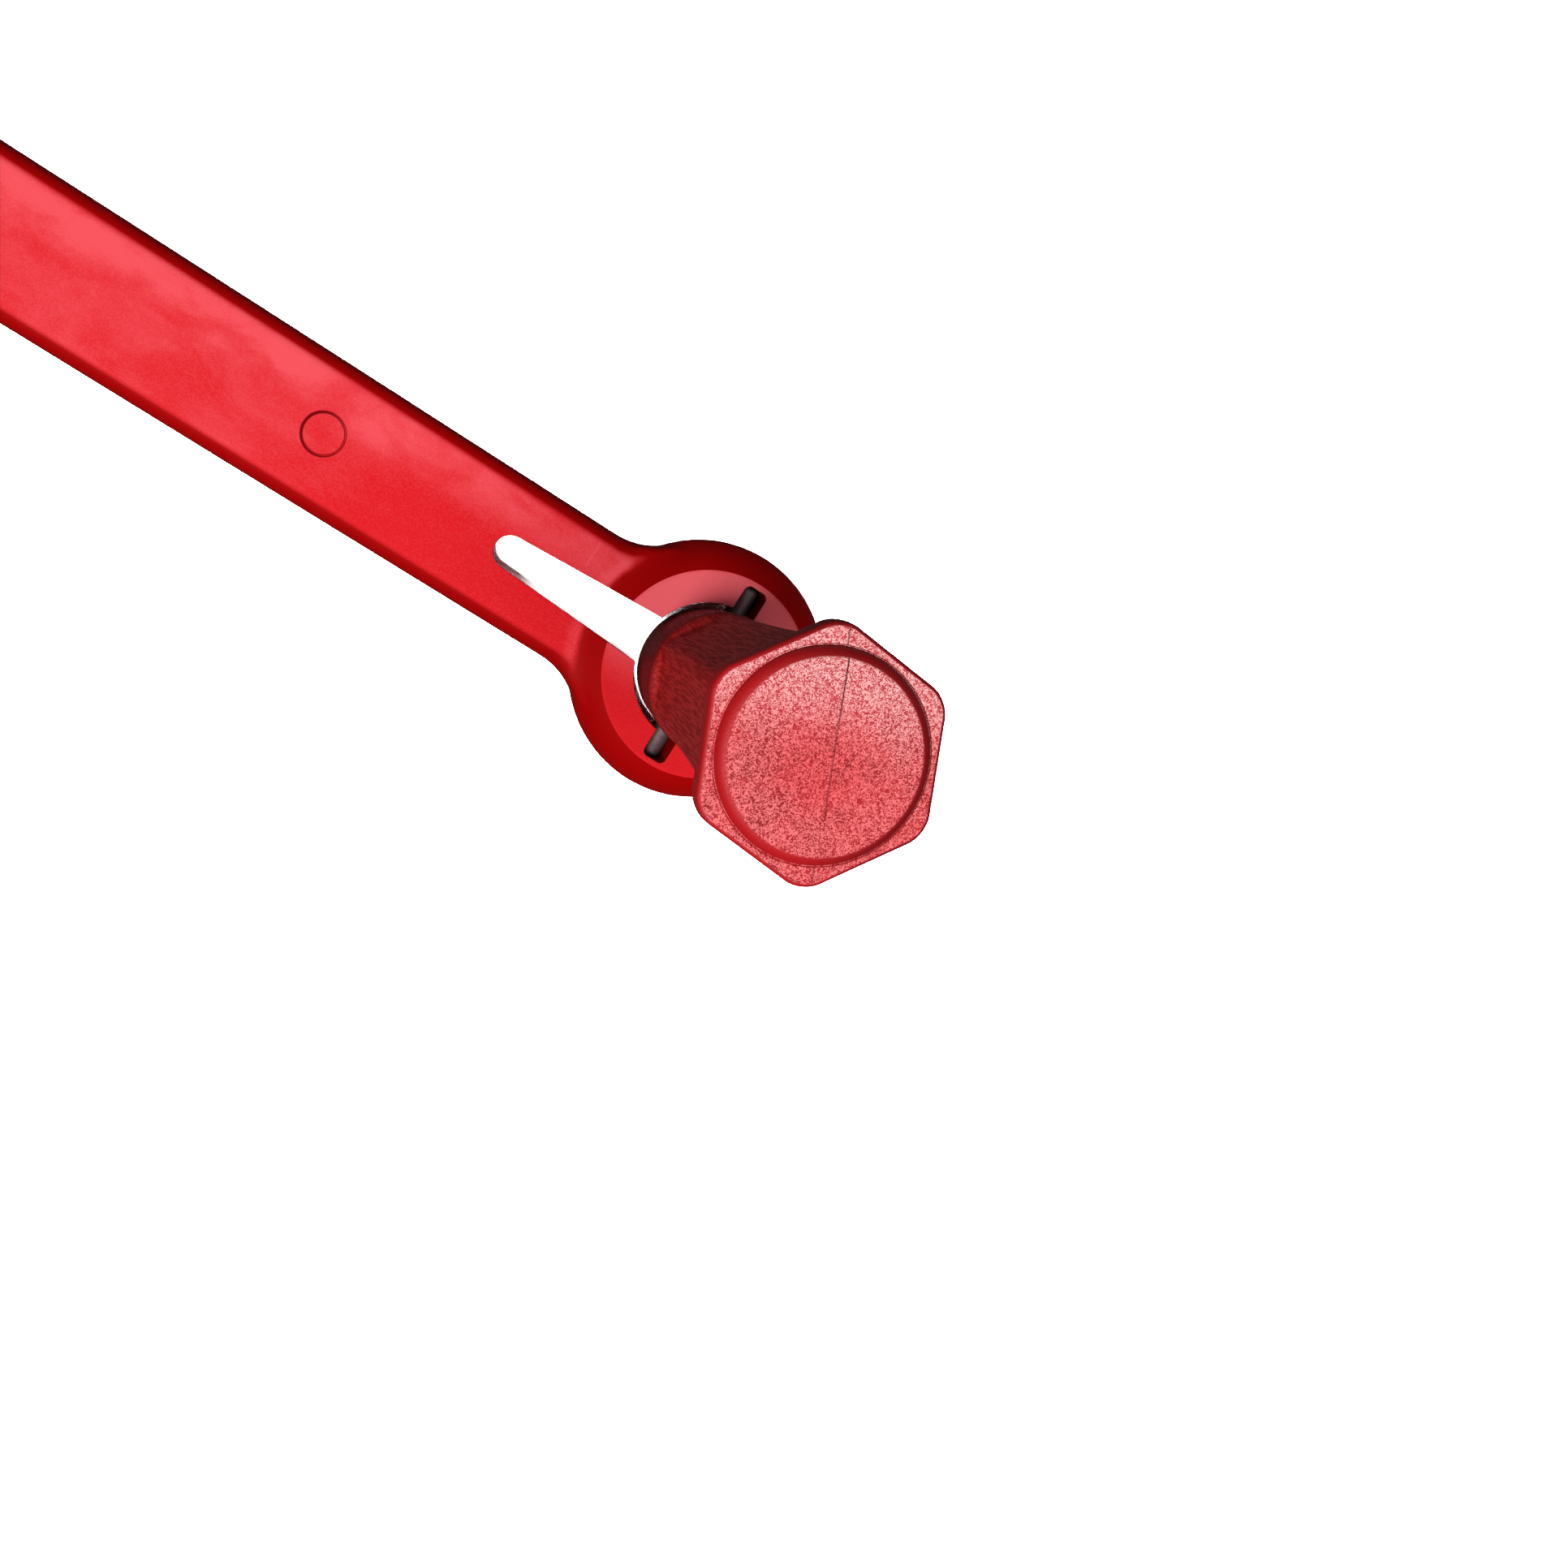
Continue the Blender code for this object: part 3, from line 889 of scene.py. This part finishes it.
g = Graph("grained red plastic")
centre = (RING_X, 0.0, HEX_TOP)
at = g.place(centre=centre)
x, y, z = g.axes(at)
worms = g.noise(g.place(centre=centre), WORM_SIZE, 1.0, 0.5, 1.9)
combed = g.noise(g.place((1.0, 1.0, 0.04), centre=centre), COMBED_SIZE, 3.0, 0.6, 0.15)
slow = g.noise(at, SLOW_SIZE, 2.0, 0.5, 0.4)
on_face = z.between(-0.9 * MM, -0.3 * MM) * g.upward().between(0.95, 0.997)
grain = g.mix(on_face, combed, worms)
peaks = grain.between(0.45, 0.55)

middle = 1.0 - length(x, y).between(2.0 * MM, 13.0 * MM)
# Painted light: the face is painted paler towards its +Y side, on peaks and valleys both.
painted_light_side = (y - x * 0.35).between(-2.0 * MM, 16.0 * MM)
# Painted sheen and shade: the grain's peaks are pale pink, its valleys dark red.
valley_shade = g.mix(slow.between(0.35, 0.65), srgb(150, 4, 14), srgb(178, 14, 26))
valley_shade = g.mix(painted_light_side * 0.6, valley_shade, srgb(212, 66, 78))
peak_sheen = g.mix(0.86 + middle * 0.2 - painted_light_side * 0.75, srgb(255, 200, 198), srgb(250, 98, 102))
face_colour = g.mix(peaks * 0.85, valley_shade, peak_sheen)

across = y * math.cos(LINE_ANGLE) - x * math.sin(LINE_ANGLE) + LINE_OFFSET
along = x * math.cos(LINE_ANGLE) + y * math.sin(LINE_ANGLE)
shown = along.between(*ON_LINE) + (1.0 - along.between(*PAST_DISC))
mould_line = (1.0 - across.size().between(0.06 * MM, 0.22 * MM)) * shown
face_colour = g.mix(mould_line * 0.5, face_colour, srgb(104, 12, 20))

shank_colour = g.mix(peaks, srgb(160, 8, 10), srgb(196, 40, 38))
# Painted shade: the collar, standing in the shade of the bore, is a deeper red.
painted_collar_shade = g.mix(slow, srgb(98, 5, 9), srgb(126, 8, 14))
above_collar = z.between(COLLAR_END - 2.0 * MM, COLLAR_END + 0.5 * MM)
side_colour = g.mix(above_collar, painted_collar_shade, shank_colour)
# Painted light and shade on the flange's sides and rim: paler towards -X and -Y, darker towards +X
# and +Y.
painted_flange_shading = g.mix((x + y).between(-16.0 * MM, 12.0 * MM), srgb(180, 12, 20), srgb(132, 0, 6))
side_colour = g.mix(z.between(-HEX_T, -HEX_T * 0.6), side_colour, painted_flange_shading)
plug_red = g.finish(
    Base_Color=g.mix(on_face, side_colour, face_colour),
    Roughness=0.62 - peaks * 0.12,
    Specular_IOR_Level=0.32,
    Normal=g.bump(grain, 0.07 * MM, 0.7, g.rounded(0.3 * MM)),
)

# %% [markdown]
# The cross pin is a plain steel dowel, dulled to a warm dark grey. It was drawn and cut, so it
# carries fine scratches round its length and a few rust-brown stains.

# %% Dull steel
SCRATCH_SIZE, STAIN_SIZE = 0.5 * MM, 1.6 * MM

g = Graph("dull dark steel")
centre = (RING_X, 0.0, PIN_Z)
scratches = g.noise(g.place((1.0, 6.0, 1.0), centre=centre), SCRATCH_SIZE, 3.0, 0.6)
stains = g.noise(g.place(centre=centre), STAIN_SIZE, 3.0, 0.6, 0.5).between(0.45, 0.7)
pin_steel = g.finish(
    Base_Color=g.mix(stains * 0.7, srgb(104, 84, 86), srgb(76, 54, 54)),
    Metallic=0.5,
    Roughness=0.42 + scratches * 0.2,
    Normal=g.bump(scratches, 0.02 * MM, 0.8),
)

# %% [markdown]
# Each finished piece takes its material, hides the measured solid it stands for, and rides on
# the body that moves it: the lever on its own body, which stays, and the plug on another, which
# lifts out. The cross pin is left as the measured solid, and only takes the steel.

# %% Put the pieces on the frame
for piece, node, body, material in (
    (lever_body, "lever", "lever", lever_red),
    (plug_body, "drive_plug", "plug", plug_red),
):
    piece.data.materials.clear()
    piece.data.materials.append(material)
    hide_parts(node)
    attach(piece, body)
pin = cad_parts["cross_pin"]
for place_in_list in range(len(pin.material_slots)):
    pin.material_slots[place_in_list].material = pin_steel
print("pieces:", lever_body.name, plug_body.name, pin.name)

# %% [markdown]
# The floor is a plain white sheet that the wrench lies on. Light that bounces off it would wash
# out the flanks, so it is hidden from bounced light and from reflections.

# %% The floor
SHEET_SIZE = 8.0
SHEET_Z = -0.2 * MM
MOTTLE_SIZE = 0.4

nothing()
bpy.ops.mesh.primitive_plane_add(size=SHEET_SIZE, location=(0.0, 0.0, SHEET_Z))
floor = named("floor")
g = Graph("white sheet")
mottle = g.noise(g.place(), MOTTLE_SIZE)
floor.data.materials.append(
    g.finish(
        Base_Color=g.mix(mottle * 0.2, srgb(250, 250, 250), srgb(244, 244, 246)),
        Roughness=0.9,
        Specular_IOR_Level=0.0,
    )
)
floor.visible_diffuse = False
floor.visible_glossy = False

# %% [markdown]
# The key light is soft and comes from near the camera, a little to its lower left, so flat faces
# shine pale and the flanks that turn away to the upper right fall into deep red. A weaker front
# light fills in from the other side. Three washes and one small spot shine on the sheet alone, so
# that it stays white inside the slot and round the plug. The room is dim for the object and white
# for the camera, like a white sheet in a dim studio.

# %% Lights and surroundings
LOOK_AT = Vector((RING_X - 30.0 * MM, 0.0, 20.0 * MM))
DIM_ROOM, WHITE_ROOM = 0.1, 1.0


def soft_light(name, place, size, power):
    """A round lamp at a place, aimed at the ring."""
    light = bpy.data.lights.new(name, "AREA")
    light.shape = "DISK"
    light.size = size
    light.energy = power
    obj = bpy.data.objects.new(name, light)
    bpy.context.scene.collection.objects.link(obj)
    obj.location = place
    obj.rotation_euler = (LOOK_AT - Vector(place)).to_track_quat("-Z", "Y").to_euler()
    return obj


soft_light("key", (-0.22, -0.46, 1.05), 0.5, 11.0)
soft_light("front", (0.40, -0.10, 1.2), 0.5, 4.0)

sheet_only = bpy.data.collections.new("sheet only")
bpy.context.scene.collection.children.link(sheet_only)
sheet_only.objects.link(floor)
for name, place, size, power in (
    ("sheet wash left", (-1.0, 0.0, 1.1), 0.5, 70.0),
    ("sheet wash far", (0.7, 0.9, 1.1), 0.5, 60.0),
    ("sheet wash near", (0.7, -0.9, 1.1), 0.5, 60.0),
    ("sheet spot", (RING_X - 0.264, -0.108, 1.2), 0.06, 40.0),
):
    wash = soft_light(name, place, size, power)
    wash.light_linking.receiver_collection = sheet_only

world = bpy.data.worlds.new("studio")
bpy.context.scene.world = world
world.use_nodes = True
tree = world.node_tree
background = tree.nodes["Background"]
seen = tree.nodes.new("ShaderNodeLightPath")
shade = tree.nodes.new("ShaderNodeMapRange")
shade.inputs["To Min"].default_value = DIM_ROOM
shade.inputs["To Max"].default_value = WHITE_ROOM
tree.links.new(seen.outputs["Is Camera Ray"], shade.inputs["Value"])
tree.links.new(shade.outputs["Result"], background.inputs["Strength"])
background.inputs["Color"].default_value = (1.0, 1.0, 1.0, 1.0)

# %% [markdown]
# The camera stands close above the handle and looks down onto the plug's end face, near enough
# for the plug to lean away strongly in perspective.

# %% The camera
CAMERA_AT = (-22.6 * MM, 5.08 * MM, 459.0 * MM)
CAMERA_TURN = (-11.8716, -14.9708, 33.5991)
FOCAL_LENGTH, SENSOR_WIDTH = 55.9, 36.0

lens = bpy.data.cameras.new("camera")
lens.lens = FOCAL_LENGTH
lens.sensor_width = SENSOR_WIDTH
lens.clip_start = 0.01
camera = bpy.data.objects.new("camera", lens)
bpy.context.scene.collection.objects.link(camera)
camera.location = CAMERA_AT
camera.rotation_euler = [math.radians(a) for a in CAMERA_TURN]
bpy.context.scene.camera = camera
bpy.context.scene.view_settings.view_transform = "Standard"
print("camera", [round(c / MM) for c in camera.location], "mm")

# %% Update the scene, and finish
bpy.context.view_layer.update()
